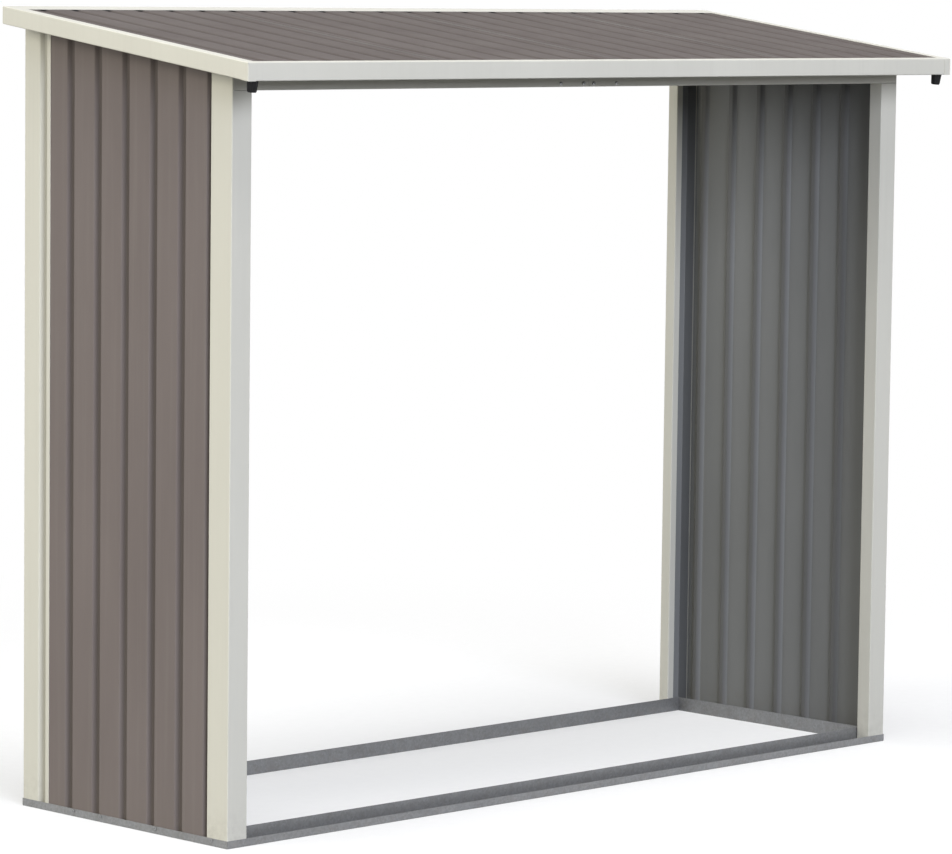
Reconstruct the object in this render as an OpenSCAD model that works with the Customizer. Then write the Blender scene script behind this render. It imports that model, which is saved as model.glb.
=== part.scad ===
// Log store: an open-fronted, open-backed shelter folded from thin steel sheet.
// Origin: middle of the roof's plan, on the ground. +X to the right, +Y to the rear, +Z up.
// All lengths are in millimetres.

/* [Overall] */
// Width over the base rails
base_w = 1858; // [1000:2:2600]
// Depth over the base rails
base_d = 598; // [400:2:1000]
// Height of the roof's top at the rear edge
rear_h = 1540; // [900:10:2000]
// How much lower the roof's top is at the front edge
roof_fall = 92; // [40:1:200]
// How far the roof reaches past the base at each side
side_overhang = 51; // [30:1:150]
// How far the roof reaches past the base at the front
front_overhang = 100; // [60:1:250]
// How far the roof reaches past the base at the rear
rear_overhang = 2; // [1.5:0.5:40]

/* [Sheet] */
// Thickness of the posts, rails and beams
frame_t = 0.8; // [0.5:0.1:1.5]
// Thickness of the roof's edge trims
trim_t = 0.7; // [0.5:0.1:1.2]
// Thickness of the ribbed sheets
panel_t = 0.6; // [0.3:0.1:1]
// Inside radius of the folds
fold_r = 1.2; // [0.6:0.1:2.5]
// Clearance between pieces that lie against each other
fit = 0.2; // [0.1:0.05:0.4]

/* [Ribs] */
// Distance from one valley of the ribbed sheets to the next
rib_pitch = 80; // [60:1:120]
// Depth of a valley
rib_depth = 8; // [5:0.5:12]
// Width of a valley at the sheet's face
rib_top_w = 22; // [18:1:30]
// Width of a valley's flat floor
rib_floor_w = 10; // [6:1:12]
// Inside radius of the bends in a valley
rib_r = 3; // [1:0.5:4]

/* [Rails] */
// Width of the U channel under and over the walls
rail_w = 36; // [34:1:60]
// Height of the channel's outer lip
rail_lip_h = 15; // [8:1:20]
// Height of the channel's inner leg
rail_leg_h = 30; // [15:1:50]

/* [Posts] */
// Width of a front post's leg along the side wall
front_leg_w = 57; // [45:1:70]
// Width of a front post's face
front_face_w = 48; // [40:1:80]
// Depth of a front post's inner return
front_return_d = 33; // [20:1:33]
// Width of a front post's lip
front_lip_w = 14; // [8:1:25]
// Width of a rear post's leg along the side wall
rear_leg_w = 77; // [72:1:95]
// Width of a rear post's face
rear_face_w = 61; // [45:1:90]
// Depth of a rear post's inner return
rear_return_d = 26; // [18:1:33]
// Width of a rear post's lip
rear_lip_w = 17; // [8:1:30]
// Distance from the rear corner to the groove in a rear post's leg
rear_groove_y = 56; // [48:1:60]

/* [Beams] */
// Height of a beam's web
beam_h = 57; // [40:1:90]
// Width of a beam's flanges
beam_flange_w = 25; // [18:1:30]
// Height of the lips on a beam's flanges
beam_lip_h = 8; // [5:1:15]
// Length of the splice inside a beam's joint
splice_l = 200; // [100:10:400]
// Width of the splice's flanges
splice_flange_w = 19; // [12:1:22]
// Gap between two halves that butt at the middle
joint_gap = 0.4; // [0.2:0.1:2]
// Gap from a beam's lip to the edge of a wall sheet
panel_gap = 4; // [2:0.5:8]

/* [Roof] */
// Height of the trims' faces
trim_face_h = 34; // [28:1:60]
// Width of a side trim's top flange
rake_flange_w = 25; // [20:1:60]
// Width of the flange under a side trim
rake_foot_w = 20; // [10:1:28]
// Width of the tab that a side trim folds round the gutter's corner
rake_tab_w = 18; // [8:1:30]
// Width of the gutter's top flange
gutter_flange_w = 14; // [12:1:40]
// Width of the gutter's floor
gutter_floor_w = 34; // [30:1:60]
// Height of the gutter's rear lip
gutter_lip_h = 12; // [6:1:16]
// Width of the rear trim's top flange
ridge_flange_w = 44; // [25:1:70]
// Distance from a side trim's face to the edge of the roof sheets
sheet_side_inset = 16; // [6:1:18]
// Distance from the gutter's face to the front end of the roof sheets
sheet_front_inset = 7; // [6:1:10]
// Distance from the rear trim's face to the rear end of the roof sheets
sheet_rear_inset = 6; // [4:1:20]
// Width of the strip that lies under the next roof sheet
lap_w = 24; // [10:1:26]
// Length over which that strip steps down
joggle_l = 4; // [2:0.5:8]

/* [Spouts] */
// Distance from the roof's side to a spout's axis
spout_side_x = 25.5; // [20:0.5:60]
// Distance from the gutter's face to a spout's axis
spout_front_y = 16; // [14:0.5:17]
// Radius of a spout's shoulder
spout_top_r = 10; // [9:0.5:14]
// Radius of a spout's tip
spout_tip_r = 8.2; // [7:0.1:12]
// Radius of a spout's bore
spout_bore_r = 6; // [4:0.5:6.5]
// Radius of the neck that passes through the gutter's floor
spout_neck_r = 8; // [7:0.5:8.5]
// Radius of the collar inside the gutter
spout_collar_r = 12; // [10:0.5:13]
// Thickness of the collar
spout_collar_t = 1.6; // [1:0.1:3]
// Length of a spout below the gutter
spout_drop = 22; // [10:1:60]
// Number of ridges round a spout
spout_ridges = 12; // [6:1:16]
// Width of a ridge
ridge_w = 1.4; // [1:0.1:2.5]
// Height of a ridge
ridge_h = 0.8; // [0.4:0.1:1.5]

/* [Hidden] */

cream = [0.84, 0.83, 0.77];
taupe = [0.48, 0.46, 0.45];
zinc = [0.62, 0.63, 0.63];
black = [0.08, 0.08, 0.08];

// Straight steps that make up one fold
bend_steps = 3;
// Sheets across the roof
roof_sheets = 4;
// How far a cut runs past what it cuts
overrun = 1;
// Share of one rib that rounding may take from a row that just fits
rounding_share = 0.001;
// Steps round a full circle
$fn = 48;

// Planes of the roof's edges, the base's faces and the frame's faces inside the base's lips
roof_w = base_w + 2 * side_overhang;
roof_d = front_overhang + base_d + rear_overhang;
front_h = rear_h - roof_fall;
slope = atan2(roof_fall, roof_d);
roof_side_x = roof_w / 2;
roof_front_y = -roof_d / 2;
roof_rear_y = roof_d / 2;
base_side_x = base_w / 2;
base_rear_y = roof_rear_y - rear_overhang;
base_front_y = base_rear_y - base_d;
base_mid_y = (base_front_y + base_rear_y) / 2;
lip_step = frame_t + fit;
// Gap that a square edge needs in the inside of a square fold, measured to the fold's straight steps
fold_seat = fold_r - sqrt((fold_r * cos(45 / bend_steps)) ^ 2 - (fold_r - fit) ^ 2);
// A sheet that stands against a rail's lip rests on the inside of the rail's fold
foot_step = lip_step + fold_seat;
// Outer radius of the folds in the frame and in the trims
frame_r = fold_r + frame_t;
trim_r = fold_r + trim_t;
side_x = base_side_x - lip_step;
front_y = base_front_y + lip_step;
rear_y = base_rear_y - lip_step;

// Depths below the roof's top plane: the sheets' flats, and the tops of the beams and rails under them
sheet_drop = trim_t + fit;
bearing_drop = sheet_drop + rib_depth + panel_t + fit;

function top_z(y) = front_h + (y - roof_front_y) * tan(slope);
function under_top_z(y, drop) = top_z(y) - drop / cos(slope);
function trim_foot_z(y) = top_z(y) - trim_face_h;

front_beam_z = under_top_z(front_y, bearing_drop) - beam_h;
rear_beam_z = under_top_z(rear_y, bearing_drop) - beam_h;
beam_end_x = side_x - frame_r - fit;

gutter_y = roof_front_y + trim_t + fit;
gutter_end_x = roof_side_x - trim_t - fold_seat;
ridge_end_x = roof_side_x - trim_t - fit;
spout_x = roof_side_x - spout_side_x;
spout_y = roof_front_y + spout_front_y;

// Ribbed sheets: valleys per roof sheet, and the valleys of a wall sheet,
// counted forward from the rear post's groove
sheet_field_w = roof_w - 2 * sheet_side_inset;
roof_ribs = floor(sheet_field_w / (roof_sheets * rib_pitch) + rounding_share);
sheet_w = roof_ribs * rib_pitch;
panel_front_y = front_y + beam_flange_w + panel_gap;
panel_rear_y = rear_y - beam_flange_w - panel_gap;
groove_y = rear_y - rear_groove_y;
wall_ribs = 1 + floor((groove_y - panel_front_y - rib_top_w) / rib_pitch + rounding_share);
rib_angle = atan2(rib_depth, (rib_top_w - rib_floor_w) / 2);

// Folded strips: a path of face points becomes the outline of a bent sheet

function direction(a, b) = (b - a) / norm(b - a);
function left_of(d) = [-d.y, d.x];
function turned(v, angle) = [v.x * cos(angle) - v.y * sin(angle), v.x * sin(angle) + v.y * cos(angle)];
function turn_angle(d, e) = atan2(d.x * e.y - d.y * e.x, d * e);

function bend_points(before, corner, after, radius, offset) =
    let (
        d = direction(before, corner),
        angle = turn_angle(d, direction(corner, after)),
        side = sign(angle),
        centre = corner - d * radius * tan(abs(angle) / 2) + left_of(d) * radius * side,
        arm = left_of(d) * (offset - side * radius)
    )
    [for (k = [0 : bend_steps]) centre + turned(arm, angle * k / bend_steps)];

function strip_side(path, radii, offset) =
    let (
        last = len(path) - 1,
        first_normal = left_of(direction(path[0], path[1])),
        last_normal = left_of(direction(path[last - 1], path[last]))
    )
    concat(
        [path[0] + first_normal * offset],
        [for (i = [1 : last - 1]) each bend_points(path[i - 1], path[i], path[i + 1], radii[i], offset)],
        [path[last] + last_normal * offset]
    );

function reversed(list) = [for (i = [len(list) - 1 : -1 : 0]) list[i]];

// The sheet lies to the left of its path, or to the right where the thickness is negative.
// A point with no inside radius of its own has the common one.
function folded(path, thickness, inside_radii = []) =
    let (radii = [for (i = [0 : len(path) - 1]) abs(thickness) + inside_radius(inside_radii, i)])
    concat(strip_side(path, radii, 0), reversed(strip_side(path, radii, thickness)));

function inside_radius(inside_radii, i) = inside_radii[i] == undef ? fold_r : inside_radii[i];
function same_radius(path, radius) = [for (point = path) radius];

// One valley across a sheet that faces +Y, narrowed where it nests inside another
function valley(x, narrowing = 0) = [
    [x - (rib_top_w - narrowing) / 2, 0],
    [x - (rib_floor_w - narrowing) / 2, -rib_depth],
    [x + (rib_floor_w - narrowing) / 2, -rib_depth],
    [x + (rib_top_w - narrowing) / 2, 0]
];

// Frames of reference

module on_roof() {
    translate([0, roof_front_y, front_h]) rotate([slope, 0, 0]) children();
}

module along_x(from, to) {
    translate([from, 0, 0]) rotate([90, 0, 90]) linear_extrude(height = to - from) children();
}

module up_slope(from, to) {
    on_roof() translate([0, to, 0]) rotate([90, 0, 0]) linear_extrude(height = to - from) children();
}

// Everything higher than a plane that lies this far under the roof's top
module above_roof_plane(drop) {
    on_roof() translate([-roof_w, -roof_d, -drop]) cube([2 * roof_w, 3 * roof_d, rear_h]);
}

module on_the_right() {
    mirror([1, 0, 0]) children();
}

// Base rails: U channels, mitred at the corners

module mitred_rail(length) {
    half = length / 2 - fit;
    inner = rail_w + overrun;
    path = [[0, rail_lip_h], [0, 0], [rail_w, 0], [rail_w, rail_leg_h]];
    color(zinc) intersection() {
        along_x(-length / 2, length / 2) polygon(folded(path, frame_t));
        translate([0, 0, -overrun]) linear_extrude(height = rail_leg_h + 2 * overrun)
            polygon([
                [-half - overrun, -overrun], [half + overrun, -overrun],
                [half - inner, inner], [-half + inner, inner]
            ]);
    }
}

module base_rail_front() {
    translate([0, base_front_y, 0]) mitred_rail(base_w);
}

module base_rail_rear() {
    translate([0, base_rear_y, 0]) rotate([0, 0, 180]) mitred_rail(base_w);
}

module base_rail_left() {
    translate([-base_side_x, base_mid_y, 0]) rotate([0, 0, -90]) mitred_rail(base_d);
}

module base_rail_right() {
    on_the_right() base_rail_left();
}

// Corner posts: folded strips that stand in the base rails.
// A beam rests on each post's face, and the leg runs on up beside the beam's end.

module post(outline, beam_z, seat_y, seat_d, face_w) {
    color(cream) difference() {
        translate([0, 0, foot_step]) linear_extrude(height = rear_h) polygon(outline);
        above_roof_plane(bearing_drop + foot_step);
        translate([-side_x + frame_r, seat_y - overrun, beam_z - fit])
            cube([face_w, seat_d + 2 * overrun, rear_h]);
    }
}

module post_front_left() {
    inner_x = -side_x + front_face_w;
    return_y = front_y + front_return_d;
    path = [
        [-side_x, front_y + front_leg_w], [-side_x, front_y], [inner_x, front_y],
        [inner_x, return_y], [inner_x - front_lip_w, return_y]
    ];
    post(folded(path, frame_t), front_beam_z, front_y, front_return_d, front_face_w);
}

module post_front_right() {
    on_the_right() post_front_left();
}

module post_rear_left() {
    inner_x = -side_x + rear_face_w;
    return_y = rear_y - rear_return_d;
    // The groove is narrower than the wall sheet's by the room that the leg's own thickness takes
    narrowing = 2 * lip_step * tan(rib_angle / 2);
    groove = [for (p = valley(0, narrowing)) [-side_x - p.y, groove_y + p.x]];
    leg_edge = [-side_x, rear_y - rear_leg_w];
    path = concat(
        [leg_edge], groove,
        [[-side_x, rear_y], [inner_x, rear_y], [inner_x, return_y], [inner_x - rear_lip_w, return_y]]
    );
    outline = folded(path, -frame_t, concat([fold_r], same_radius(groove, rib_r)));
    post(outline, rear_beam_z, return_y, rear_return_d, rear_face_w);
}

module post_rear_right() {
    on_the_right() post_rear_left();
}

// Wall sheets: ribbed upright, they stand in the side rails behind the posts' legs

module wall_panel_left() {
    path = concat(
        [[panel_front_y, 0]],
        [for (i = [wall_ribs - 1 : -1 : 0]) each valley(groove_y - i * rib_pitch)],
        [[panel_rear_y, 0]]
    );
    color(taupe) difference() {
        translate([-side_x + lip_step, 0, foot_step]) rotate([0, 0, 90])
            linear_extrude(height = rear_h) polygon(folded(path, -panel_t, same_radius(path, rib_r)));
        above_roof_plane(bearing_drop + foot_step);
    }
}

module wall_panel_right() {
    on_the_right() wall_panel_left();
}

// Top rails: upside-down channels along the sloping tops of the walls, from beam to beam

module wall_top_rail_left() {
    inner_x = -base_side_x + rail_w;
    path = [
        [-base_side_x, -bearing_drop - rail_lip_h], [-base_side_x, -bearing_drop],
        [inner_x, -bearing_drop], [inner_x, -bearing_drop - rail_leg_h]
    ];
    from_y = front_y + beam_flange_w + fit;
    to_y = rear_y - beam_flange_w - fit;
    color(cream) intersection() {
        up_slope(0, roof_d) polygon(folded(path, -frame_t));
        translate([-base_side_x - overrun, from_y, 0]) cube([base_side_x, to_y - from_y, rear_h]);
    }
}

module wall_top_rail_right() {
    on_the_right() wall_top_rail_left();
}

// Beams over the two openings: lipped C sections whose top flange lies along the roof's slope.
// inward is 1 where the flanges point to the rear and -1 where they point to the front.

function beam_path(web_y, floor_z, inward) =
    let (edge_y = web_y + inward * beam_flange_w)
    [
        [edge_y, under_top_z(edge_y, bearing_drop) - beam_lip_h],
        [edge_y, under_top_z(edge_y, bearing_drop)],
        [web_y, under_top_z(web_y, bearing_drop)],
        [web_y, floor_z], [edge_y, floor_z], [edge_y, floor_z + beam_lip_h]
    ];

module beam_half(web_y, floor_z, inward) {
    color(cream) along_x(-beam_end_x, -joint_gap / 2)
        polygon(folded(beam_path(web_y, floor_z, inward), inward * frame_t));
}

module beam_splice(web_y, floor_z, inward) {
    face_y = web_y + inward * lip_step;
    edge_y = face_y + inward * splice_flange_w;
    drop = bearing_drop + lip_step;
    path = [
        [edge_y, under_top_z(edge_y, drop)], [face_y, under_top_z(face_y, drop)],
        [face_y, floor_z + lip_step], [edge_y, floor_z + lip_step]
    ];
    color(zinc) along_x(-splice_l / 2, splice_l / 2) polygon(folded(path, inward * frame_t));
}

module front_beam_left() {
    beam_half(front_y, front_beam_z, 1);
}

module front_beam_right() {
    on_the_right() front_beam_left();
}

module front_beam_splice() {
    beam_splice(front_y, front_beam_z, 1);
}

module rear_beam_left() {
    beam_half(rear_y, rear_beam_z, -1);
}

module rear_beam_right() {
    on_the_right() rear_beam_left();
}

module rear_beam_splice() {
    beam_splice(rear_y, rear_beam_z, -1);
}

// Roof sheets: ribs run down the slope, and each sheet's right edge steps under the next sheet

module roof_panel(index) {
    left_x = (index - roof_sheets / 2) * sheet_w;
    right_x = left_x + sheet_w;
    start_x = index == 0 ? -roof_side_x + sheet_side_inset : left_x;
    under = panel_t + fit;
    end = index == roof_sheets - 1
        ? [[roof_side_x - sheet_side_inset, 0]]
        : [[right_x - fit - joggle_l, 0], [right_x - fit, -under], [right_x + lap_w, -under]];
    path = concat(
        [[start_x, 0]],
        [for (i = [0 : roof_ribs - 1]) each valley(left_x + (i + 1 / 2) * rib_pitch)],
        end
    );
    color(taupe) up_slope(sheet_front_inset / cos(slope), (roof_d - sheet_rear_inset) / cos(slope))
        translate([0, -sheet_drop]) polygon(folded(path, -panel_t, same_radius(path, rib_r)));
}

module roof_panel_left() {
    roof_panel(0);
}

module roof_panel_mid_left() {
    roof_panel(1);
}

module roof_panel_mid_right() {
    roof_panel(2);
}

module roof_panel_right() {
    roof_panel(3);
}

// Roof trims: folded edge sections with mitred top flanges

// Plan of the left side trim: mitred at both ends, and square behind the gutter's flange
module rake_plan() {
    reach = max(rake_flange_w, rake_foot_w) + overrun;
    from_y = roof_front_y + fit;
    to_y = roof_rear_y - fit;
    polygon([
        [-roof_side_x - overrun, from_y - overrun],
        [-roof_side_x + gutter_flange_w, from_y + gutter_flange_w],
        [-roof_side_x + reach, from_y + gutter_flange_w],
        [-roof_side_x + reach, to_y - reach],
        [-roof_side_x - overrun, to_y + overrun]
    ]);
}

module rake_trim_left() {
    face_h = trim_face_h * cos(slope);
    path = [
        [-roof_side_x + rake_flange_w, 0], [-roof_side_x, 0],
        [-roof_side_x, -face_h], [-roof_side_x + rake_foot_w, -face_h]
    ];
    color(cream) difference() {
        intersection() {
            up_slope(-roof_d, 2 * roof_d) polygon(folded(path, trim_t));
            linear_extrude(height = 2 * rear_h) rake_plan();
        }
        // The foot stops behind the gutter
        translate([-roof_side_x + trim_t, roof_front_y - overrun, trim_foot_z(roof_front_y) - trim_face_h])
            cube([rake_foot_w, gutter_floor_w + fit + overrun, trim_face_h + trim_face_h / 2]);
        // The face stops at the fold of its tab
        difference() {
            translate([-roof_side_x - overrun, roof_front_y - overrun, 0])
                cube([trim_t + 2 * overrun, trim_r + overrun, rear_h]);
            above_roof_plane(trim_r);
        }
    }
    rake_tab();
}

// Tab of the left side trim: its face folded round the corner on to the gutter's face
module rake_tab() {
    path = [
        [-roof_side_x + rake_tab_w, roof_front_y], [-roof_side_x, roof_front_y],
        [-roof_side_x, roof_front_y + rake_tab_w]
    ];
    color(cream) intersection() {
        linear_extrude(height = rear_h) polygon(folded(path, -trim_t));
        difference() {
            above_roof_plane(trim_face_h * cos(slope));
            above_roof_plane(trim_r);
        }
    }
}

module rake_trim_right() {
    on_the_right() rake_trim_left();
}

// Corner that a front or rear trim's top flange leaves to the side trim
module mitre_corner(corner_y, inward) {
    mitre_w = rake_flange_w + fit;
    reach = max(mitre_w, gutter_flange_w, ridge_flange_w) + overrun;
    intersection() {
        linear_extrude(height = 2 * rear_h)
            polygon([
                [-roof_side_x - overrun, corner_y - inward * overrun],
                [-roof_side_x + mitre_w, corner_y + inward * mitre_w],
                [-roof_side_x + mitre_w, corner_y + inward * reach],
                [-roof_side_x - overrun, corner_y + inward * reach]
            ]);
        above_roof_plane(trim_r);
    }
}

// Axis of the left spout, square to the gutter's floor and starting at its underside
module at_left_spout() {
    translate([-spout_x, spout_y, trim_foot_z(spout_y)]) rotate([slope, 0, 0]) children();
}

// Trough along the front: water runs off the sheets' ends under its top flange
module front_gutter() {
    flange_y = roof_front_y + gutter_flange_w;
    back_y = roof_front_y + gutter_floor_w;
    path = [
        [flange_y, top_z(flange_y)], [gutter_y, top_z(gutter_y)], [gutter_y, trim_foot_z(gutter_y)],
        [back_y, trim_foot_z(back_y)], [back_y, trim_foot_z(back_y) + gutter_lip_h]
    ];
    plate = [
        [back_y, under_top_z(back_y, trim_r + fit)], [gutter_y, under_top_z(gutter_y, trim_r + fit)],
        [gutter_y, trim_foot_z(gutter_y)], [back_y, trim_foot_z(back_y)]
    ];
    plate_outline = strip_side(plate, same_radius(plate, trim_r), 0);
    color(cream) difference() {
        union() {
            along_x(-gutter_end_x, gutter_end_x) polygon(folded(path, trim_t));
            along_x(-gutter_end_x, -gutter_end_x + trim_t) polygon(plate_outline);
            along_x(gutter_end_x - trim_t, gutter_end_x) polygon(plate_outline);
        }
        for (side = [0, 1]) mirror([side, 0, 0]) {
            mitre_corner(roof_front_y, 1);
            at_left_spout() translate([0, 0, -overrun])
                cylinder(r = spout_neck_r + fit, h = trim_t + 2 * overrun);
        }
    }
}

module ridge_trim_left() {
    flange_y = roof_rear_y - ridge_flange_w;
    path = [[flange_y, top_z(flange_y)], [roof_rear_y, rear_h], [roof_rear_y, rear_h - trim_face_h]];
    color(cream) difference() {
        along_x(-ridge_end_x, -joint_gap / 2) polygon(folded(path, -trim_t));
        mitre_corner(roof_rear_y, -1);
    }
}

module ridge_trim_right() {
    on_the_right() ridge_trim_left();
}

// Drain spouts: ridged, tapered tubes whose collars sit on the gutter's floor

module drain_spout_left() {
    shoulder_z = -fit;
    tip_z = -spout_drop;
    collar_z = trim_t + fit;
    color(black) at_left_spout() union() {
        rotate_extrude()
            polygon([
                [spout_bore_r, collar_z + spout_collar_t], [spout_collar_r, collar_z + spout_collar_t],
                [spout_collar_r, collar_z], [spout_neck_r, collar_z], [spout_neck_r, shoulder_z],
                [spout_top_r, shoulder_z], [spout_tip_r, tip_z], [spout_bore_r, tip_z]
            ]);
        for (k = [0 : spout_ridges - 1]) rotate([0, 0, k * 360 / spout_ridges])
            translate([0, ridge_w / 2, 0]) rotate([90, 0, 0]) linear_extrude(height = ridge_w)
                polygon([
                    [spout_neck_r, shoulder_z], [spout_top_r + ridge_h, shoulder_z],
                    [spout_tip_r + ridge_h, tip_z + spout_collar_t], [spout_neck_r, tip_z + spout_collar_t]
                ]);
    }
}

module drain_spout_right() {
    on_the_right() drain_spout_left();
}

base_rail_front();
base_rail_rear();
base_rail_left();
base_rail_right();
post_front_left();
post_front_right();
post_rear_left();
post_rear_right();
wall_panel_left();
wall_panel_right();
wall_top_rail_left();
wall_top_rail_right();
front_beam_left();
front_beam_right();
front_beam_splice();
rear_beam_left();
rear_beam_right();
rear_beam_splice();
roof_panel_left();
roof_panel_mid_left();
roof_panel_mid_right();
roof_panel_right();
rake_trim_left();
rake_trim_right();
front_gutter();
ridge_trim_left();
ridge_trim_right();
drain_spout_left();
drain_spout_right();
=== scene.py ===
"""Log store: open front and back, ribbed steel walls and roof on a folded steel frame."""
import math

import bmesh
import bpy
from mathutils import Matrix, Vector


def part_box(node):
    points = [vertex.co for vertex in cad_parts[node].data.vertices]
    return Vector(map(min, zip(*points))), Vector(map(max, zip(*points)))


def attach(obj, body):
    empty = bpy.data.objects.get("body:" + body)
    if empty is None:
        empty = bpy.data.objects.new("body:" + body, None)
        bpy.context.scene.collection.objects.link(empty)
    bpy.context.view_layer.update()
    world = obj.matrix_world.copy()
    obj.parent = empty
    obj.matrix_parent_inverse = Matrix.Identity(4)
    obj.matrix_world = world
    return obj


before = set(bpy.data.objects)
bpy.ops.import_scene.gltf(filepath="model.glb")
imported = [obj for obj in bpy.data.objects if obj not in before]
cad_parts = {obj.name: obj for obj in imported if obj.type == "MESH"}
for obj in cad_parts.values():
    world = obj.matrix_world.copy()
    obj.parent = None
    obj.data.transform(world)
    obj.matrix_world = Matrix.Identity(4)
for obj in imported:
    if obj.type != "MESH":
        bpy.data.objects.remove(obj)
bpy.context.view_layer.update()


# Base rails: four U channels that lie on the ground and meet in mitres at the corners.
# Hot-dip galvanised sheet, roll-formed; the posts and the wall sheets stand in them.

def place(tree, kind, settings=None, inputs=None):
    """Adds a node with its settings, and fills its inputs with values or with other nodes' sockets."""
    item = tree.nodes.new(kind)
    for key, value in (settings or {}).items():
        setattr(item, key, value)
    for key, value in (inputs or {}).items():
        if isinstance(value, bpy.types.NodeSocket):
            tree.links.new(value, item.inputs[key])
        else:
            item.inputs[key].default_value = value
    return item


def maths(tree, operation, *values):
    """Result socket of a Math node."""
    return place(tree, "ShaderNodeMath", {"operation": operation}, dict(enumerate(values))).outputs[0]


def mix_colours(tree, share, first, second):
    """Colour between two colours, by a share that can vary over the surface."""
    colours = {0: share, 6: first, 7: second}
    return place(tree, "ShaderNodeMix", {"data_type": "RGBA"}, colours).outputs[2]


def spread(tree, value, span, new_span):
    """Value mapped from one span to another and clamped there."""
    ends = {"From Min": span[0], "From Max": span[1], "To Min": new_span[0], "To Max": new_span[1]}
    return place(tree, "ShaderNodeMapRange", {"clamp": True}, {"Value": value, **ends}).outputs[0]


def axes_of(tree, vector):
    """X, Y and Z sockets of a vector."""
    return place(tree, "ShaderNodeSeparateXYZ", inputs={0: vector}).outputs


def object_coordinates(tree):
    """Place of a point in the store's own frame, in metres."""
    return place(tree, "ShaderNodeTexCoord").outputs["Object"]


def noise_of(tree, coordinates, scale, detail=2.0, roughness=0.5):
    """Noise value over the given coordinates."""
    values = {"Vector": coordinates, "Scale": scale, "Detail": detail, "Roughness": roughness}
    return place(tree, "ShaderNodeTexNoise", inputs=values).outputs["Fac"]


def start_group(name, inputs, outputs):
    """New shader node group with float sockets; returns its tree, its inputs and its outputs."""
    tree = bpy.data.node_groups.new(name, "ShaderNodeTree")
    for label, value in inputs.items():
        socket = tree.interface.new_socket(label, in_out="INPUT", socket_type="NodeSocketFloat")
        socket.default_value = value
    for label in outputs:
        tree.interface.new_socket(label, in_out="OUTPUT", socket_type="NodeSocketFloat")
    return tree, tree.nodes.new("NodeGroupInput").outputs, tree.nodes.new("NodeGroupOutput").inputs


def use_group(tree, group, **values):
    """Places a shared effect in a material; side_low=1.0 sets its input Side low, and so on."""
    item = place(tree, "ShaderNodeGroup", {"node_tree": group})
    for key, value in values.items():
        item.inputs[key.replace("_", " ").capitalize()].default_value = value
    return item.outputs


def start_material(name):
    """New material; returns it with its node tree and its Principled shader."""
    material = bpy.data.materials.new(name)
    material.use_nodes = True
    return material, material.node_tree, material.node_tree.nodes["Principled BSDF"]


def set_surface(tree, shader, colour, roughness, relief, relief_depth):
    """Feeds the shader's colour and roughness, and a relief that is relief_depth metres deep at 1."""
    bump = place(tree, "ShaderNodeBump", inputs={"Height": relief, "Distance": relief_depth})
    tree.links.new(colour, shader.inputs["Base Color"])
    tree.links.new(roughness, shader.inputs["Roughness"])
    tree.links.new(bump.outputs[0], shader.inputs["Normal"])


# Dust that settles on faces that look up, thicker in patches
settled_dust, dust_in, dust_out = start_group("settled_dust", {"Amount": 0.5, "Patches": 9.0}, ["Mask"])
dust_place = object_coordinates(settled_dust)
dust_normal = place(settled_dust, "ShaderNodeNewGeometry").outputs["Normal"]
dust_level = spread(settled_dust, axes_of(settled_dust, dust_normal)["Z"], (0.35, 0.95), (0.0, 1.0))
dust_noise = noise_of(settled_dust, dust_place, dust_in["Patches"], detail=5.0, roughness=0.6)
dust_patch = spread(settled_dust, dust_noise, (0.3, 0.7), (0.25, 1.0))
dust_mask = maths(settled_dust, "MULTIPLY", dust_level, dust_patch)
settled_dust.links.new(maths(settled_dust, "MULTIPLY", dust_mask, dust_in["Amount"]), dust_out["Mask"])

# Soil that rain throws up against the lowest part of the store
rain_splash, splash_in, splash_out = start_group("rain_splash", {"Amount": 0.5, "Height": 0.12}, ["Mask"])
splash_place = object_coordinates(rain_splash)
splash_share = maths(rain_splash, "DIVIDE", axes_of(rain_splash, splash_place)["Z"], splash_in["Height"])
splash_fade = spread(rain_splash, splash_share, (0.0, 1.0), (1.0, 0.0))
splash_fade = maths(rain_splash, "POWER", splash_fade, 2.0)
splash_noise = noise_of(rain_splash, splash_place, scale=60.0, detail=6.0, roughness=0.7)
splash_spots = spread(rain_splash, splash_noise, (0.42, 0.68), (0.1, 1.0))
splash_mask = maths(rain_splash, "MULTIPLY", splash_fade, splash_spots)
rain_splash.links.new(maths(rain_splash, "MULTIPLY", splash_mask, splash_in["Amount"]), splash_out["Mask"])

SOIL = (0.19, 0.165, 0.135, 1)
DUST = (0.42, 0.40, 0.36, 1)


def soiled(tree, colour, dust_amount, splash_amount):
    """Colour with dust on what looks up and splashed soil near the ground."""
    dust = use_group(tree, settled_dust, amount=dust_amount)["Mask"]
    splash = use_group(tree, rain_splash, amount=splash_amount)["Mask"]
    return mix_colours(tree, splash, mix_colours(tree, dust, colour, DUST), SOIL)


# Zinc coat: crystals a few millimetres across, each a slightly different grey
ZINC_DULL = (0.255, 0.26, 0.265, 1)
ZINC_BRIGHT = (0.32, 0.325, 0.33, 1)
CRYSTALS_A_METRE, CRYSTAL_SHARE, CRYSTAL_DEPTH = 240.0, 0.4, 0.00004
galvanised, tree, shader = start_material("galvanised_steel")
zinc_place = object_coordinates(tree)
crystals = place(tree, "ShaderNodeTexVoronoi", inputs={"Vector": zinc_place, "Scale": CRYSTALS_A_METRE})
crystal_tone = axes_of(tree, crystals.outputs["Color"])["X"]
clouds = maths(tree, "MULTIPLY", noise_of(tree, zinc_place, scale=14.0, detail=4.0), 1 - CRYSTAL_SHARE)
zinc_tone = maths(tree, "MULTIPLY_ADD", crystal_tone, CRYSTAL_SHARE, clouds)
zinc_tone = spread(tree, zinc_tone, (0.2, 0.8), (0.0, 1.0))
zinc = mix_colours(tree, zinc_tone, ZINC_DULL, ZINC_BRIGHT)
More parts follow.
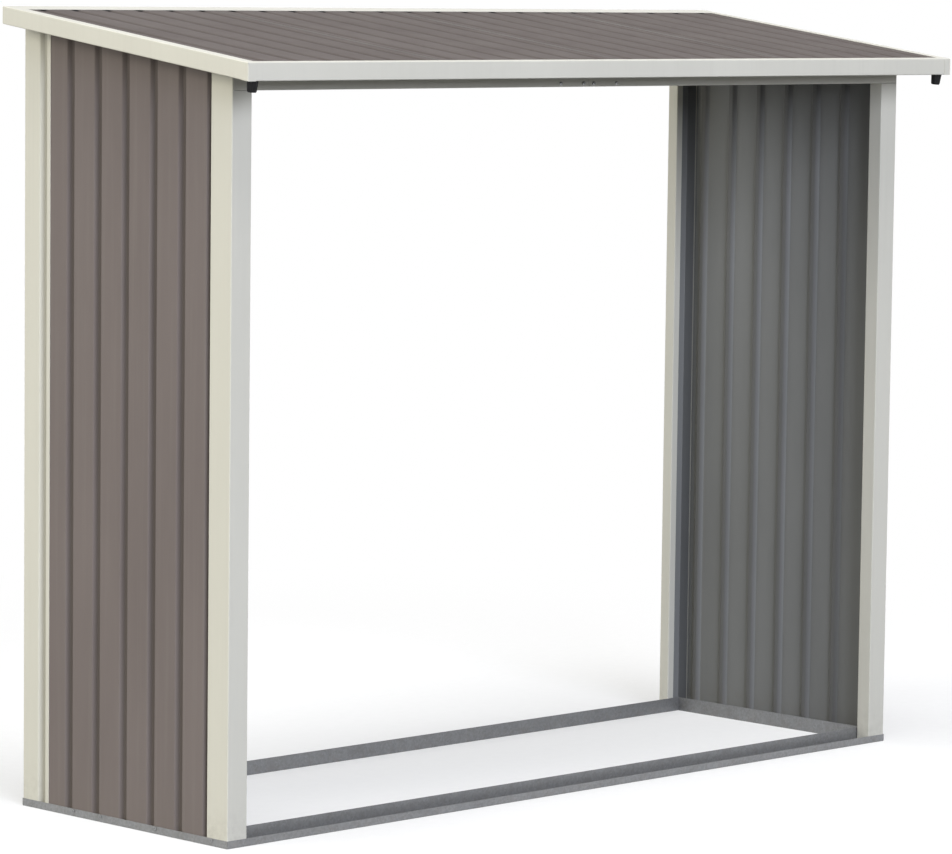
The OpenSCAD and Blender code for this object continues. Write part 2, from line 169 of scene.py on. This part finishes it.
zinc = soiled(tree, zinc, dust_amount=0.3, splash_amount=0.35)
zinc_roughness = spread(tree, zinc_tone, (0.0, 1.0), (0.56, 0.42))
set_surface(tree, shader, zinc, zinc_roughness, crystal_tone, CRYSTAL_DEPTH)
shader.inputs["Metallic"].default_value = 0.6

# Fold shading: round over the folds, flat over the flats, sharp at cut edges
SHARP_ANGLE = math.radians(35)
WELD = 0.00002
fold_shading = bpy.data.node_groups.new("fold_shading", "GeometryNodeTree")
fold_shading.interface.new_socket("Geometry", in_out="INPUT", socket_type="NodeSocketGeometry")
fold_shading.interface.new_socket("Geometry", in_out="OUTPUT", socket_type="NodeSocketGeometry")


def next_step(geometry, kind, settings=None, inputs=None):
    """Adds the next geometry node to the fold shading and returns its result."""
    item = place(fold_shading, kind, settings, inputs)
    fold_shading.links.new(geometry, item.inputs[0])
    return item.outputs[0]


work = fold_shading.nodes.new("NodeGroupInput").outputs[0]
work = next_step(work, "GeometryNodeRemoveAttribute", inputs={"Name": "custom_normal"})
work = next_step(work, "GeometryNodeMergeByDistance", inputs={"Distance": WELD})
work = next_step(work, "GeometryNodeSetShadeSmooth", {"domain": "FACE"}, {"Shade Smooth": True})
edge_angle = place(fold_shading, "GeometryNodeInputMeshEdgeAngle").outputs["Unsigned Angle"]
angles = {0: edge_angle, 1: SHARP_ANGLE}
is_sharp = place(fold_shading, "FunctionNodeCompare", {"operation": "GREATER_THAN"}, angles).outputs[0]
sharp_edges = {"Selection": is_sharp, "Shade Smooth": False}
work = next_step(work, "GeometryNodeSetShadeSmooth", {"domain": "EDGE"}, sharp_edges)
fold_shading.links.new(work, fold_shading.nodes.new("NodeGroupOutput").inputs[0])


def finish_sheet(name, material):
    """Gives a folded piece its material and its shading."""
    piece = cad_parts[name]
    piece.data.materials.clear()
    piece.data.materials.append(material)
    piece.modifiers.new("fold_shading", "NODES").node_group = fold_shading
    even = piece.modifiers.new("even_flats", "WEIGHTED_NORMAL")
    even.mode = "FACE_AREA"
    even.keep_sharp = True


for side in ("front", "rear", "left", "right"):
    finish_sheet(f"base_rail_{side}", galvanised)


# Corner posts: sheet folded to a side leg, a face, a return and a lip, standing in the rails' corners.
# Cream coil-coated steel; the rear posts have a groove that nests in the wall sheet's groove.

def stretched(tree, coordinates, shares):
    """Coordinates scaled by a share along each axis; a pattern runs long where the share is small."""
    return place(tree, "ShaderNodeMapping", inputs={"Vector": coordinates, "Scale": shares}).outputs[0]


# Skin of a coated sheet: slow ripples from the rolling, and the paint's fine orange peel
RIPPLES_A_METRE = (7.0, 7.0, 2.2)
CLOUDS_A_METRE = (5.0, 5.0, 1.6)
PEEL_A_METRE = 620.0
SKIN_DEPTH = 0.0016
sheet_skin, skin_in, skin_out = start_group("sheet_skin", {"Ripple": 0.5, "Peel": 0.5}, ["Height", "Tone"])
skin_place = object_coordinates(sheet_skin)
ripples = noise_of(sheet_skin, stretched(sheet_skin, skin_place, RIPPLES_A_METRE), scale=1.0)
peel = maths(sheet_skin, "MULTIPLY", noise_of(sheet_skin, skin_place, PEEL_A_METRE), skin_in["Peel"])
skin_height = maths(sheet_skin, "MULTIPLY_ADD", ripples, skin_in["Ripple"], peel)
sheet_skin.links.new(skin_height, skin_out["Height"])
cloud_place = stretched(sheet_skin, skin_place, CLOUDS_A_METRE)
tone_clouds = noise_of(sheet_skin, cloud_place, scale=1.0, detail=6.0, roughness=0.6)
sheet_skin.links.new(spread(sheet_skin, tone_clouds, (0.3, 0.7), (0.0, 1.0)), skin_out["Tone"])

# Rain marks: faint streaks that run down upright faces
DOWN_WALLS = (1.0, 1.0, 0.02)
rain_marks, marks_in, marks_out = start_group("rain_marks", {"Amount": 0.5}, ["Mask"])
marks_place = object_coordinates(rain_marks)
streaks = stretched(rain_marks, marks_place, DOWN_WALLS)
streaks = noise_of(rain_marks, streaks, scale=85.0, detail=4.0, roughness=0.65)
streaks = spread(rain_marks, streaks, (0.5, 0.75), (0.0, 1.0))
marks_patch = noise_of(rain_marks, marks_place, scale=3.0, detail=3.0)
marks_patch = spread(rain_marks, marks_patch, (0.35, 0.65), (0.0, 1.0))
marks_mask = maths(rain_marks, "MULTIPLY", streaks, marks_patch)
rain_marks.links.new(maths(rain_marks, "MULTIPLY", marks_mask, marks_in["Amount"]), marks_out["Mask"])

# Reverse side: a point of a folded section that looks into the section's own hollow.
# Side, depth and height bound the hollow, and so does the drop below the roof's top plane.
LIMITS = {
    "Side low": 0.0, "Side high": 2.0, "Depth low": -2.0, "Depth high": 2.0,
    "Height low": -1.0, "Drop low": -1.0, "Drop high": 3.0,
}
PROBE = 0.0005
ROOF_MID_Z, ROOF_RISE, ROOF_DEPTH = 1.494, 0.092, 0.700
ROOF_RISE_SHARE = ROOF_RISE / ROOF_DEPTH


def within(tree, value, low, high):
    """1 where a value lies between two limits, and 0 elsewhere."""
    above = maths(tree, "GREATER_THAN", value, low)
    return maths(tree, "MULTIPLY", above, maths(tree, "LESS_THAN", value, high))


reverse_side, limits, reverse_out = start_group("reverse_side", LIMITS, ["Mask"])
surface = place(reverse_side, "ShaderNodeTexCoord").outputs
off_surface = {0: surface["Normal"], 1: (PROBE, PROBE, PROBE), 2: surface["Object"]}
probe = place(reverse_side, "ShaderNodeVectorMath", {"operation": "MULTIPLY_ADD"}, off_surface).outputs[0]
probe_x, probe_y, probe_z = axes_of(reverse_side, probe)
probe_side = maths(reverse_side, "ABSOLUTE", probe_x)
roof_z = maths(reverse_side, "MULTIPLY_ADD", probe_y, ROOF_RISE_SHARE, ROOF_MID_Z)
drop = maths(reverse_side, "SUBTRACT", roof_z, probe_z)
in_side = within(reverse_side, probe_side, limits["Side low"], limits["Side high"])
in_depth = within(reverse_side, probe_y, limits["Depth low"], limits["Depth high"])
in_drop = within(reverse_side, drop, limits["Drop low"], limits["Drop high"])
in_height = maths(reverse_side, "GREATER_THAN", probe_z, limits["Height low"])
in_plan = maths(reverse_side, "MULTIPLY", in_side, in_depth)
in_elevation = maths(reverse_side, "MULTIPLY", in_drop, in_height)
reverse_side.links.new(maths(reverse_side, "MULTIPLY", in_plan, in_elevation), reverse_out["Mask"])

CREAM_DULL = (0.640, 0.625, 0.552, 1)
CREAM_CLEAN = (0.672, 0.656, 0.580, 1)
RAIN_STAIN = (0.46, 0.44, 0.38, 1)
GREY_DULL = (0.215, 0.218, 0.214, 1)
GREY_CLEAN = (0.250, 0.253, 0.248, 1)
# Painted shade: a near-black mixed into grooves, rib valleys and the roof's face where they should read
# darker
PAINTED_SHADE = (0.035, 0.031, 0.029, 1)
RIB_DEPTH, GROOVE_SHADE = 0.008, 0.3


def cream_sheet(name, recess=None, **hollow):
    """Coated sheet, cream outside, with the coil's grey washcoat inside the section's hollow.

    recess gives the socket of the depth of a groove, where shade is painted.
    """
    material, tree, shader = start_material(name)
    skin = use_group(tree, sheet_skin, ripple=0.9, peel=0.012)
    stains = use_group(tree, rain_marks, amount=0.14)["Mask"]
    cream = mix_colours(tree, skin["Tone"], CREAM_DULL, CREAM_CLEAN)
    cream = mix_colours(tree, stains, cream, RAIN_STAIN)
    if recess:
        # Painted shade in the groove, darker the deeper a point lies in it
        recess_shade = spread(tree, recess(tree), (0.0, RIB_DEPTH), (0.0, GROOVE_SHADE))
        cream = mix_colours(tree, recess_shade, cream, PAINTED_SHADE)
    grey = mix_colours(tree, skin["Tone"], GREY_DULL, GREY_CLEAN)
    in_hollow = use_group(tree, reverse_side, **hollow)["Mask"]
    coat = mix_colours(tree, in_hollow, cream, grey)
    coat = soiled(tree, coat, dust_amount=0.16, splash_amount=0.3)
    roughness = spread(tree, skin["Tone"], (0.0, 1.0), (0.44, 0.36))
    set_surface(tree, shader, coat, roughness, skin["Height"], SKIN_DEPTH)
    shader.inputs["Specular IOR Level"].default_value = 0.4
    return material


SECTION_SHEET = 0.0008
FRONT_RETURN, REAR_RETURN = 0.033, 0.026
GROOVE_LOW_Y, GROOVE_HIGH_Y = 0.277, 0.305
front_low, front_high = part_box("post_front_right")
rear_low, rear_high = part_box("post_rear_right")


def groove_recess(tree):
    """How deep a point lies in the groove of a rear post's leg."""
    x, y, _ = axes_of(tree, object_coordinates(tree))
    depth = maths(tree, "SUBTRACT", rear_high.x, maths(tree, "ABSOLUTE", x))
    return maths(tree, "MULTIPLY", depth, within(tree, y, GROOVE_LOW_Y, GROOVE_HIGH_Y))


front_post_cream = cream_sheet(
    "cream_front_posts",
    side_low=front_low.x + SECTION_SHEET,
    side_high=front_high.x - SECTION_SHEET,
    depth_low=front_low.y + SECTION_SHEET,
    depth_high=front_low.y + FRONT_RETURN - SECTION_SHEET,
)
rear_post_cream = cream_sheet(
    "cream_rear_posts",
    groove_recess,
    side_low=rear_low.x + SECTION_SHEET,
    side_high=rear_high.x - SECTION_SHEET,
    depth_low=rear_high.y - REAR_RETURN + SECTION_SHEET,
    depth_high=rear_high.y - SECTION_SHEET,
)
for side in ("left", "right"):
    finish_sheet(f"post_front_{side}", front_post_cream)
    finish_sheet(f"post_rear_{side}", rear_post_cream)


# Wall sheets: thin steel with upright ribs, one to each side, standing in the side rails.
# Taupe coil coating outside, and the grey washcoat that such coil has on its back.

TAUPE_DULL = (0.176, 0.150, 0.143, 1)
TAUPE_CLEAN = (0.200, 0.171, 0.163, 1)
TAUPE_RUN = (0.27, 0.25, 0.23, 1)
RIB_SHADE, RUN_SHARE = 0.40, 0.22


def taupe_sheet(name, axis, outward, run_shares, recess, gloss, shade_share):
    """Coated sheet whose taupe face looks outward along an axis; the other face has the grey coat.

    recess gives the socket of the depth behind the sheet's flats, where shade is painted along the ribs,
    and the last argument is the share of painted shade all over the taupe face.
    """
    material, tree, shader = start_material(name)
    skin = use_group(tree, sheet_skin, ripple=1.1, peel=0.014)
    runs = stretched(tree, object_coordinates(tree), run_shares)
    runs = noise_of(tree, runs, scale=70.0, detail=4.0, roughness=0.6)
    runs = spread(tree, runs, (0.5, 0.8), (0.0, RUN_SHARE))
    taupe = mix_colours(tree, skin["Tone"], TAUPE_DULL, TAUPE_CLEAN)
    taupe = mix_colours(tree, runs, taupe, TAUPE_RUN)
    # Painted shade over the whole taupe face, by the given share; only the roof gets it, to offset the
    # light from above
    taupe = mix_colours(tree, shade_share, taupe, PAINTED_SHADE)
    grey = mix_colours(tree, skin["Tone"], GREY_DULL, GREY_CLEAN)
    normal = place(tree, "ShaderNodeTexCoord").outputs["Normal"]
    facing = maths(tree, "MULTIPLY", axes_of(tree, normal)[axis], outward)
    coat = mix_colours(tree, maths(tree, "GREATER_THAN", facing, 0.0), grey, taupe)
    # Painted shade in the ribs' valleys, darker the deeper the valley, standing in for the shade that falls
    # there
    recess_shade = spread(tree, recess(tree), (0.0, RIB_DEPTH), (0.0, RIB_SHADE))
    coat = mix_colours(tree, recess_shade, coat, PAINTED_SHADE)
    coat = soiled(tree, coat, dust_amount=0.10, splash_amount=0.35)
    roughness = spread(tree, skin["Tone"], (0.0, 1.0), (0.58, 0.5))
    set_surface(tree, shader, coat, roughness, skin["Height"], SKIN_DEPTH)
    shader.inputs["Specular IOR Level"].default_value = gloss
    return material


wall_face_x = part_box("wall_panel_right")[1].x


def wall_recess(tree):
    """How far a point lies inside the face of its side wall."""
    x, _, _ = axes_of(tree, object_coordinates(tree))
    return maths(tree, "SUBTRACT", wall_face_x, maths(tree, "ABSOLUTE", x))


for side, outward in (("left", -1.0), ("right", 1.0)):
    taupe_wall = taupe_sheet(
        f"taupe_wall_{side}", "X", outward, DOWN_WALLS, wall_recess, gloss=0.14, shade_share=0.0
    )
    finish_sheet(f"wall_panel_{side}", taupe_wall)


# Base screws: small self-tapping screws through the side rails' lips into the posts and wall sheets.
# Zinc-plated steel with a pan head and a cross recess, the thread rolled up to the head.

PLATED_DULL = (0.27, 0.275, 0.28, 1)
PLATED_BRIGHT = (0.38, 0.385, 0.385, 1)
PLATE_DEPTH = 0.00002
zinc_plate, tree, shader = start_material("zinc_plate")
plate_tone = noise_of(tree, object_coordinates(tree), scale=900.0, detail=4.0, roughness=0.6)
plated = mix_colours(tree, plate_tone, PLATED_DULL, PLATED_BRIGHT)
plated = soiled(tree, plated, dust_amount=0.1, splash_amount=0.15)
plate_roughness = spread(tree, plate_tone, (0.3, 0.7), (0.46, 0.34))
set_surface(tree, shader, plated, plate_roughness, plate_tone, PLATE_DEPTH)
shader.inputs["Metallic"].default_value = 0.85

STEPS = 24
HEAD_R, HEAD_H = 0.0040, 0.0024
SHANK_R, ROOT_R, POINT_R = 0.0021, 0.0016, 0.0002
SHANK_L, POINT_L = 0.0110, 0.0026
THREADS = 6
TURN_SHARES = ((ROOT_R, 0.0), (ROOT_R, 0.3), (SHANK_R, 0.6), (SHANK_R, 0.7))
HEAD_SHARES = ((1.0, 0.0), (1.0, 0.3), (0.95, 0.6), (0.84, 0.82), (0.66, 1.0))
CROSS_W, CROSS_L, CROSS_DEPTH, CROSS_TAPER_SHARE = 0.0006, 0.0019, 0.0013, 0.5
TURN_STEP = 0.7


def join_rings(mesh, low, high):
    """Adds the faces between two rings of vertices."""
    for k in range(len(low)):
        mesh.faces.new((low[k - 1], low[k], high[k], high[k - 1]))


def turned_part(mesh, stand, profile):
    """Turns a profile of radii and heights about the part's axis and returns its rings of vertices."""
    rings = []
    for radius, z in profile:
        angles = (2 * math.pi * k / STEPS for k in range(STEPS))
        points = (Vector((radius * math.cos(angle), radius * math.sin(angle), z)) for angle in angles)
        rings.append([mesh.verts.new(stand @ point) for point in points])
    for low, high in zip(rings, rings[1:]):
        join_rings(mesh, low, high)
    return rings


def add_screw(mesh, stand):
    """Adds one screw whose head's underside lies on the stand's plane."""
    thread_l = SHANK_L - POINT_L
    profile = [(POINT_R, -SHANK_L)]
    for turn in range(THREADS):
        for radius, share in TURN_SHARES:
            profile.append((radius, -thread_l + thread_l * (turn + share) / THREADS))
    profile.append((ROOT_R, 0.0))
    profile += [(HEAD_R * r_share, HEAD_H * h_share) for r_share, h_share in HEAD_SHARES]
    rings = turned_part(mesh, stand, profile)
    mesh.faces.new(rings[0])
    # Cross recess: a rim of twelve corners in the head's flat top, and a smaller floor below it
    quarter = ((CROSS_L, -CROSS_W), (CROSS_L, CROSS_W), (CROSS_W, CROSS_W))
    quarter_turns = [Matrix.Rotation(math.pi / 2 * k, 4, "Z") for k in range(4)]
    corners = [turn @ Vector((x, y, HEAD_H)) for turn in quarter_turns for x, y in quarter]
    rim = [mesh.verts.new(stand @ corner) for corner in corners]
    floor_z = HEAD_H - CROSS_DEPTH
    sunk = [Vector((c.x * CROSS_TAPER_SHARE, c.y * CROSS_TAPER_SHARE, floor_z)) for c in corners]
    floor = [mesh.verts.new(stand @ point) for point in sunk]
    top, per_quarter = rings[-1], STEPS // 4
    for k in range(4):
        first, end = k * per_quarter, k * len(quarter)
        next_end = (end + len(quarter)) % len(rim)
        mesh.faces.new((top[first - 1], top[first], top[first + 1], rim[end + 1], rim[end]))
        arc = [top[first + step] for step in range(1, per_quarter)]
        mesh.faces.new(arc + [rim[next_end], rim[end + 2], rim[end + 1]])
    join_rings(mesh, floor, rim)
    mesh.faces.new(floor)


def stand_on(seat, outward, turn):
    """Frame that stands on a seat with its Z axis along outward, turned about that axis."""
    upright = Vector(outward).to_track_quat("Z", "Y").to_matrix().to_4x4()
    return Matrix.Translation(seat) @ upright @ Matrix.Rotation(turn, 4, "Z")


def fasteners(name, add_one, seats, material):
    """One piece made of the same small part on each seat, each turned further than the last.

    A seat is a point and its outward direction.
    """
    mesh = bmesh.new()
    for k, (seat, outward) in enumerate(seats):
        add_one(mesh, stand_on(seat, outward, TURN_STEP * k))
    bmesh.ops.recalc_face_normals(mesh, faces=mesh.faces)
    for face in mesh.faces:
        face.smooth = True
    data = bpy.data.meshes.new(name)
    mesh.to_mesh(data)
    mesh.free()
    data.set_sharp_from_angle(angle=SHARP_ANGLE)
    data.materials.append(material)
    piece = bpy.data.objects.new(name, data)
    bpy.context.scene.collection.objects.link(piece)
    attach(piece, "root")


BASE_SCREW_Z = 0.0106
BASE_SCREW_YS = (0.194, 0.114, -0.046, -0.206)
lip_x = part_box("base_rail_right")[1].x
seats = [((side * lip_x, y, BASE_SCREW_Z), (side, 0.0, 0.0)) for side in (-1, 1) for y in BASE_SCREW_YS]
fasteners("base_screws", add_screw, seats, zinc_plate)


# Top rails: the same channel turned over, closing the sloping tops of the side walls.
# Cream coated steel, pushed down over the wall sheet from beam to beam.

FLANGE_DROP = 0.0105
rail_low, rail_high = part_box("wall_top_rail_right")
top_rail_cream = cream_sheet(
    "cream_top_rails",
    side_low=rail_low.x + SECTION_SHEET,
    side_high=rail_high.x - SECTION_SHEET,
    drop_low=FLANGE_DROP,
)
for side in ("left", "right"):
    finish_sheet(f"wall_top_rail_{side}", top_rail_cream)


# Beams: lipped C sections over the front and the rear opening, each in two halves.
# Cream coated steel, joined at the middle by a galvanised splice inside the joint.

for opening in ("front", "rear"):
    beam_low, beam_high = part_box(f"{opening}_beam_left")
    beam_cream = cream_sheet(
        f"cream_{opening}_beams",
        depth_low=beam_low.y + SECTION_SHEET,
        depth_high=beam_high.y - SECTION_SHEET,
        height_low=beam_low.z + SECTION_SHEET,
        drop_low=FLANGE_DROP,
    )
    finish_sheet(f"{opening}_beam_left", beam_cream)
    finish_sheet(f"{opening}_beam_right", beam_cream)
    finish_sheet(f"{opening}_beam_splice", galvanised)

# Screws through the lower edge of each web into the splice
BEAM_SCREW_XS = (-0.078, -0.014, 0.014, 0.078)
FRONT_SCREW_Z, REAR_SCREW_Z = 1.4008, 1.4790
front_web_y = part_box("front_beam_left")[0].y
rear_web_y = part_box("rear_beam_left")[1].y
seats = [((x, front_web_y, FRONT_SCREW_Z), (0.0, -1.0, 0.0)) for x in BEAM_SCREW_XS]
seats += [((x, rear_web_y, REAR_SCREW_Z), (0.0, 1.0, 0.0)) for x in BEAM_SCREW_XS]
fasteners("beam_screws", add_screw, seats, zinc_plate)


# Roof sheets: four ribbed sheets, ribs down the slope, each lapped under its right-hand neighbour.
# The same coated coil as the walls, taupe above and grey below, matt; its taupe is painted darker all over
# as shade, so that the light from above leaves it no brighter than the walls.

DOWN_ROOF = (1.0, 0.02, 1.0)
SHEET_DROP = 0.0009


def roof_recess(tree):
    """How far a point lies below the flats of the roof sheets."""
    _, y, z = axes_of(tree, object_coordinates(tree))
    flats_z = maths(tree, "MULTIPLY_ADD", y, ROOF_RISE_SHARE, ROOF_MID_Z - SHEET_DROP)
    return maths(tree, "SUBTRACT", flats_z, z)


taupe_roof = taupe_sheet("taupe_roof", "Z", 1.0, DOWN_ROOF, roof_recess, gloss=0.005, shade_share=0.42)
for sheet in ("left", "mid_left", "mid_right", "right"):
    finish_sheet(f"roof_panel_{sheet}", taupe_roof)


# Roof screws: twelve to a row, through the sheets' valleys into the beams' top flanges.
# The same zinc-plated screws, here on black rubber washers that keep the water out.

RUBBER_DARK = (0.012, 0.012, 0.012, 1)
RUBBER_DUSTY = (0.028, 0.028, 0.027, 1)
RUBBER_DEPTH = 0.00004
black_rubber, tree, shader = start_material("black_rubber")
rubber_tone = noise_of(tree, object_coordinates(tree), scale=700.0, detail=3.0)
rubber = mix_colours(tree, rubber_tone, RUBBER_DARK, RUBBER_DUSTY)
rubber_roughness = spread(tree, rubber_tone, (0.3, 0.7), (0.7, 0.85))
set_surface(tree, shader, rubber, rubber_roughness, rubber_tone, RUBBER_DEPTH)
shader.inputs["Specular IOR Level"].default_value = 0.3

WASHER_R, WASHER_T, WASHER_FACE_SHARE = 0.0047, 0.0012, 0.97
VALLEY_DROP = 0.0089
FIRST_SCREW_X, SCREW_SPACING, SCREWS_A_SIDE = 0.120, 0.160, 6
SCREW_ROW_YS = (-0.237, 0.335)


def add_washer(mesh, stand):
    """Adds one washer, slightly swollen where the screw squeezes it."""
    face_r = WASHER_R * WASHER_FACE_SHARE
    rim = [(face_r, 0.0), (WASHER_R, 0.3), (WASHER_R, 0.7), (face_r, 1.0)]
    profile = [(ROOT_R, 0.0), *rim, (ROOT_R, 1.0)]
    rings = turned_part(mesh, stand, [(radius, WASHER_T * share) for radius, share in profile])
    join_rings(mesh, rings[-1], rings[0])


roof_out = Vector((0.0, -ROOF_RISE_SHARE, 1.0)).normalized()
steps_out = [FIRST_SCREW_X + SCREW_SPACING * k for k in range(SCREWS_A_SIDE)]
screw_xs = [side * step for side in (-1, 1) for step in steps_out]
roof_points = [Vector((x, y, ROOF_MID_Z + y * ROOF_RISE_SHARE)) for y in SCREW_ROW_YS for x in screw_xs]
valley_points = [point - roof_out * VALLEY_DROP for point in roof_points]
seats = [(point, roof_out) for point in valley_points]
fasteners("roof_washers", add_washer, seats, black_rubber)
seats = [(point + roof_out * WASHER_T, roof_out) for point in valley_points]
fasteners("roof_screws", add_screw, seats, zinc_plate)


# Gutter: one folded strip along the low edge, face, floor and rear lip, with closed ends.
# Cream coated steel; its top flange covers the ends of the roof sheets.

TRIM_SHEET, TRIM_FACE_H = 0.0007, 0.034
gutter_low, gutter_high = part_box("front_gutter")
gutter_cream = cream_sheet(
    "cream_gutter",
    depth_low=gutter_low.y + TRIM_SHEET,
    depth_high=gutter_high.y - TRIM_SHEET,
    drop_low=TRIM_SHEET,
    drop_high=TRIM_FACE_H - TRIM_SHEET,
)
finish_sheet("front_gutter", gutter_cream)


# Drain spouts: short ridged tubes pushed through the gutter's floor at both ends.
# Moulded black polyethylene with a fine matt texture.

PLASTIC_DARK = (0.010, 0.010, 0.011, 1)
PLASTIC_SCUFFED = (0.035, 0.035, 0.036, 1)
GRAIN_DEPTH = 0.00008
black_plastic, tree, shader = start_material("black_plastic")
grain = noise_of(tree, object_coordinates(tree), scale=900.0, detail=3.0)
scuffs = noise_of(tree, object_coordinates(tree), scale=160.0, detail=6.0, roughness=0.7)
scuffs = spread(tree, scuffs, (0.52, 0.75), (0.0, 0.6))
plastic = mix_colours(tree, scuffs, PLASTIC_DARK, PLASTIC_SCUFFED)
plastic_roughness = spread(tree, grain, (0.3, 0.7), (0.42, 0.6))
set_surface(tree, shader, plastic, plastic_roughness, grain, GRAIN_DEPTH)
shader.inputs["Specular IOR Level"].default_value = 0.25
for side in ("left", "right"):
    finish_sheet(f"drain_spout_{side}", black_plastic)


# Side and rear trims: angles and channels that cover the roof sheets' cut edges.
# Cream coated steel with mitred flanges; the rear trim is in two lengths.

rake_low, rake_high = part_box("rake_trim_right")
rake_cream = cream_sheet(
    "cream_side_trims",
    side_high=rake_high.x - TRIM_SHEET,
    depth_low=rake_low.y + TRIM_SHEET,
    drop_low=TRIM_SHEET,
    drop_high=TRIM_FACE_H - TRIM_SHEET,
)
ridge_face_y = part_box("ridge_trim_right")[1].y
ridge_cream = cream_sheet("cream_rear_trims", depth_high=ridge_face_y - TRIM_SHEET, drop_low=TRIM_SHEET)
for side in ("left", "right"):
    finish_sheet(f"rake_trim_{side}", rake_cream)
    finish_sheet(f"ridge_trim_{side}", ridge_cream)


# Floor: a plain pale floor under the store.
# It takes the store's shadow, and further out it runs to white.

FLOOR_HALF = 60.0
FADE_START, FADE_END = 1.3, 3.2
NEAR_DULL = (0.42, 0.42, 0.42, 1)
NEAR_PALE = (0.46, 0.46, 0.46, 1)
NEAR_GLOW, FAR_GLOW = 0.54, 1.0
BOUNCE = (0.16, 0.16, 0.155, 1)
BLACK = (0.0, 0.0, 0.0, 1)
WHITE = (1.0, 1.0, 1.0, 1)

floor_signs = ((-1, -1), (1, -1), (1, 1), (-1, 1))
floor_corners = [(x * FLOOR_HALF, y * FLOOR_HALF, 0.0) for x, y in floor_signs]
floor_mesh = bpy.data.meshes.new("floor")
floor_mesh.from_pydata(floor_corners, [], [(0, 1, 2, 3)])
floor = bpy.data.objects.new("floor", floor_mesh)
bpy.context.scene.collection.objects.link(floor)


def seen_rays(tree):
    """1 for what the camera, a reflection or a clear piece shows, 0 for light that falls on the store."""
    path = place(tree, "ShaderNodeLightPath").outputs
    indirect = maths(tree, "MAXIMUM", path["Is Glossy Ray"], path["Is Transmission Ray"])
    return maths(tree, "MAXIMUM", path["Is Camera Ray"], indirect)


pale_floor, tree, shader = start_material("pale_floor")
floor_place = object_coordinates(tree)
reach = place(tree, "ShaderNodeVectorMath", {"operation": "LENGTH"}, {0: floor_place}).outputs["Value"]
fade = {"Value": reach, "From Min": FADE_START, "From Max": FADE_END}
far = place(tree, "ShaderNodeMapRange", {"interpolation_type": "SMOOTHSTEP"}, fade).outputs[0]
seen = seen_rays(tree)
near_colour = mix_colours(tree, noise_of(tree, floor_place, scale=40.0, detail=4.0), NEAR_DULL, NEAR_PALE)
seen_colour = mix_colours(tree, far, near_colour, BLACK)
glow = spread(tree, far, (0.0, 1.0), (NEAR_GLOW, FAR_GLOW))
tree.links.new(mix_colours(tree, seen, BOUNCE, seen_colour), shader.inputs["Base Color"])
tree.links.new(maths(tree, "MULTIPLY", seen, glow), shader.inputs["Emission Strength"])
shader.inputs["Emission Color"].default_value = WHITE
shader.inputs["Roughness"].default_value = 0.9
shader.inputs["Specular IOR Level"].default_value = 0.0
floor_mesh.materials.append(pale_floor)


# Light: a dim even sky, and five large soft lamps, the brightest of them in front and above.
# The camera and reflections see a white sky and no lamps, so that pale edges keep their tone.

world = bpy.data.worlds.new("studio")
bpy.context.scene.world = world
world.use_nodes = True
tree = world.node_tree
sky = tree.nodes["Background"]
sky.inputs["Color"].default_value = (0.97, 0.985, 1.0, 1)
sky.inputs["Strength"].default_value = 0.07
backdrop = place(tree, "ShaderNodeBackground", inputs={"Color": WHITE, "Strength": 1.0})
sky_or_backdrop = {0: seen_rays(tree), 1: sky.outputs[0], 2: backdrop.outputs[0]}
switch = place(tree, "ShaderNodeMixShader", inputs=sky_or_backdrop)
tree.links.new(switch.outputs[0], tree.nodes["World Output"].inputs["Surface"])

AIM = Vector((0.0, 0.0, 0.7))
LAMP_DISTANCE, LAMP_SIZE = 16.0, 8.0


def soft_lamp(name, direction, level, colour):
    """Square lamp aimed at the store; at level 1 a matt surface that faces it shows its own colour."""
    away = Vector(direction).normalized() * LAMP_DISTANCE
    lamp = bpy.data.lights.new(name, "AREA")
    lamp.size = LAMP_SIZE
    lamp.energy = level * math.pi ** 2 * LAMP_DISTANCE ** 2
    lamp.color = colour
    holder = bpy.data.objects.new(name, lamp)
    holder.matrix_world = Matrix.Translation(AIM + away) @ away.to_track_quat("Z", "Y").to_matrix().to_4x4()
    holder.visible_camera = False
    holder.visible_glossy = False
    bpy.context.scene.collection.objects.link(holder)


soft_lamp("left_lamp", (-0.95, 0.12, 0.28), 0.50, (1.03, 1.0, 0.86))
soft_lamp("front_lamp", (-0.32, -0.87, 0.36), 0.76, (0.94, 0.985, 1.12))
soft_lamp("rear_lamp", (-0.50, 0.75, 0.43), 0.28, (1.0, 1.0, 0.98))
soft_lamp("right_lamp", (0.93, -0.15, 0.33), 0.33, (1.0, 1.0, 1.0))
soft_lamp("top_lamp", (-0.15, -0.20, 0.97), 0.60, (1.0, 1.0, 1.0))


# Camera: a long lens at standing height, off the store's front left corner.
# It looks a little down and is rolled by less than a degree.

CAMERA_PLACE = Vector((-6.43245, -6.47416, 1.60053))
AZIMUTH, ELEVATION, ROLL = (math.radians(angle) for angle in (-44.5794, 5.5955, 0.6885))
run_share = math.cos(ELEVATION)
back = Vector((math.sin(AZIMUTH) * run_share, -math.cos(AZIMUTH) * run_share, math.sin(ELEVATION)))
level = Vector((math.cos(AZIMUTH), math.sin(AZIMUTH), 0.0))
upright = back.cross(level)
right = math.cos(ROLL) * level + math.sin(ROLL) * upright
up = math.cos(ROLL) * upright - math.sin(ROLL) * level
lens = bpy.data.cameras.new("camera")
lens.sensor_fit = "HORIZONTAL"
lens.sensor_width = 36.0
lens.lens = 172.75
camera = bpy.data.objects.new("camera", lens)
camera.matrix_world = Matrix.Translation(CAMERA_PLACE) @ Matrix((right, up, back)).transposed().to_4x4()
bpy.context.scene.collection.objects.link(camera)
bpy.context.scene.camera = camera
bpy.context.scene.view_settings.view_transform = "Standard"
